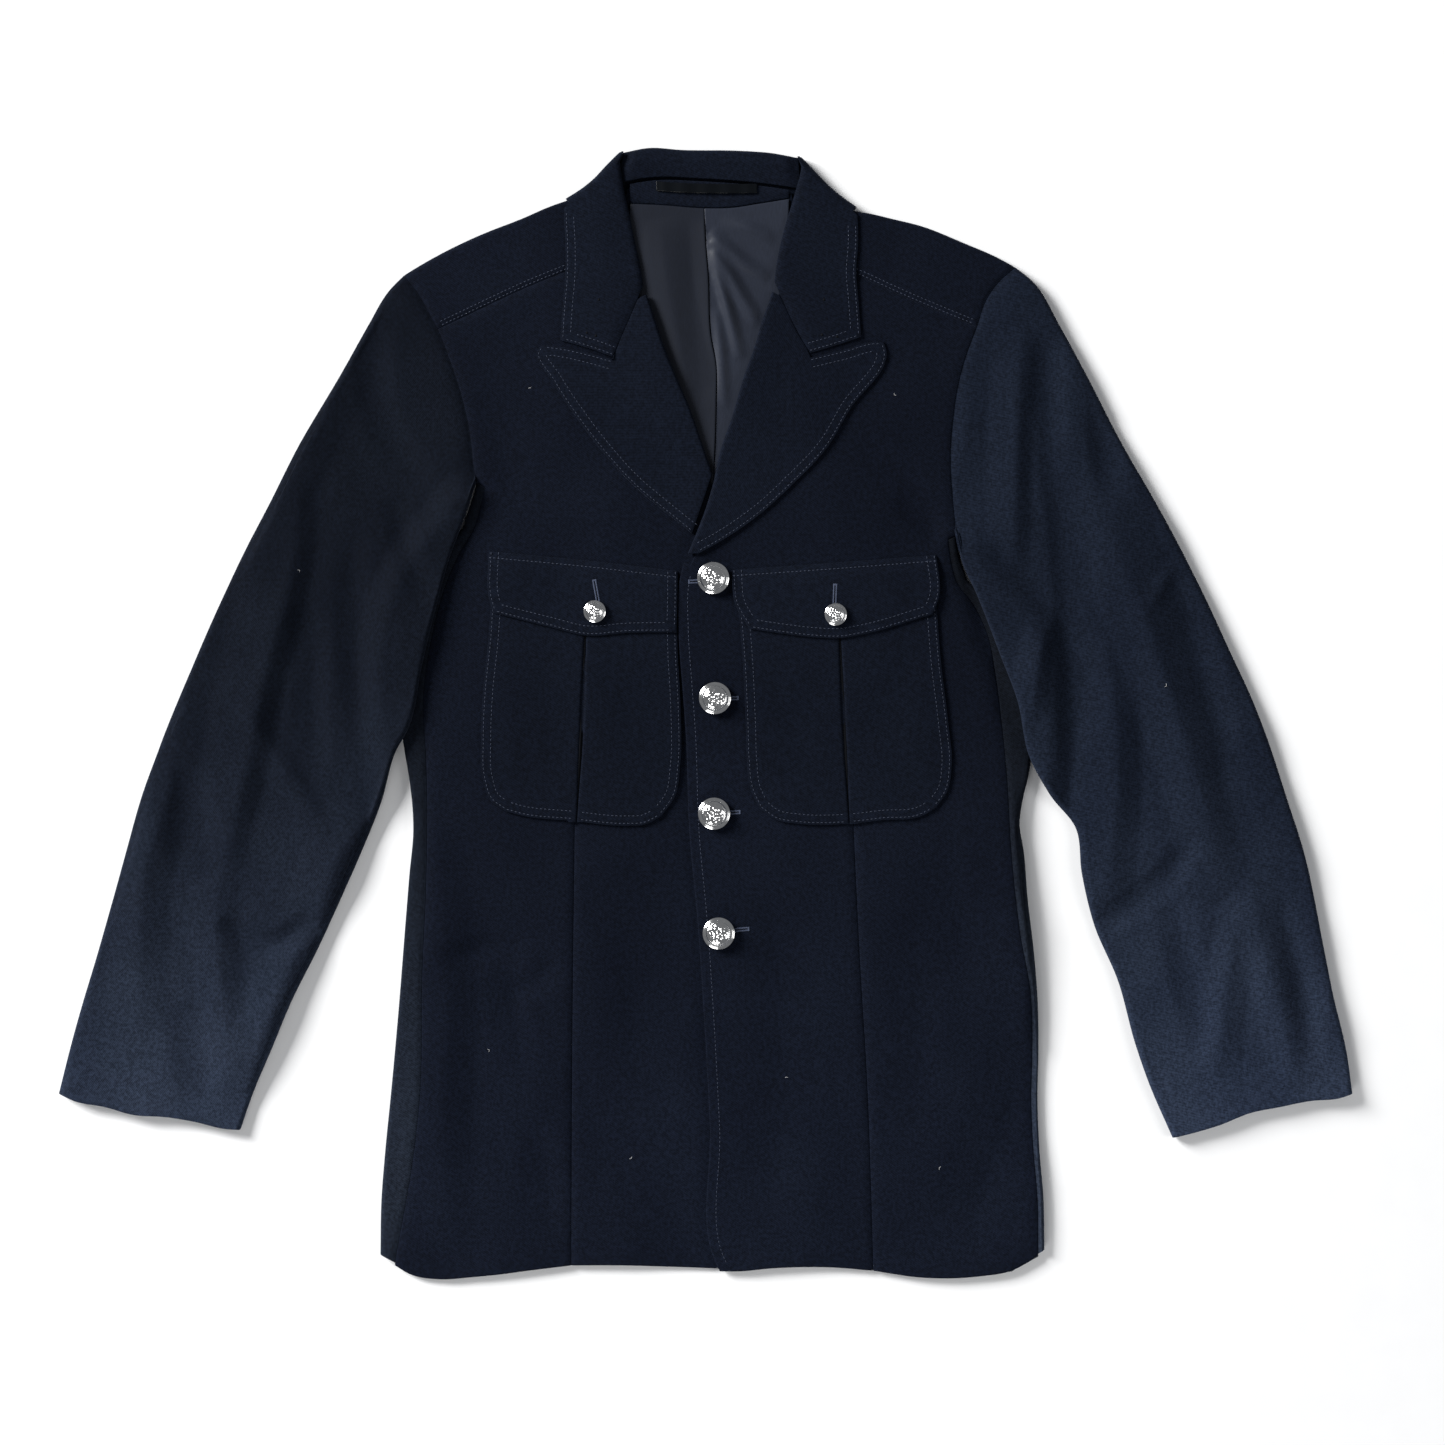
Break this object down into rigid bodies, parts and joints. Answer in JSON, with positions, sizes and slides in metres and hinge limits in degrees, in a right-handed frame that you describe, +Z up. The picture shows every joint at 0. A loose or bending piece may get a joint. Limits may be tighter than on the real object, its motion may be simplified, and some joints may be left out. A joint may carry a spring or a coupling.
{
  "type": "uniform tunic",
  "caption": "Dark navy single-breasted uniform tunic laid flat, front up: peaked lapels, pleated breast pockets with pointed flaps, chrome domed buttons and satin-lined neck",
  "frame": {"origin": "on the surface that the tunic lies on, under the middle of its outline box", "axes": "+X to the wearer's left, +Y from the hem to the collar, +Z up out of the surface"},
  "size_m": [0.9582, 0.8386, 0.0171],
  "materials": {
    "navy_cloth": "matt wool twill with a faint sheen",
    "lining_satin": "soft satin",
    "black_tape": "satin tape",
    "chrome": "polished"
  },
  "bodies": {
    "root": {"back": "navy_cloth", "front_right": "navy_cloth", "front_left": "navy_cloth", "side_right": "navy_cloth", "side_left": "navy_cloth", "yoke_right": "navy_cloth", "yoke_left": "navy_cloth", "sleeve_upper_right": "navy_cloth", "sleeve_upper_left": "navy_cloth", "sleeve_under_right": "navy_cloth", "sleeve_under_left": "navy_cloth", "lapel_right": "navy_cloth", "lapel_left": "navy_cloth", "collar_leaf": "navy_cloth", "collar_stand": "navy_cloth", "neck_facing": "navy_cloth", "pocket_right": "navy_cloth", "pocket_left": "navy_cloth", "flap_right": "navy_cloth", "flap_left": "navy_cloth", "lining_right": "lining_satin", "lining_left": "lining_satin", "hanger_loop": "black_tape", "front_button_1": "chrome", "front_button_2": "chrome", "front_button_3": "chrome", "front_button_4": "chrome", "flap_button_right": "chrome", "flap_button_left": "chrome"}
  },
  "joints": []
}
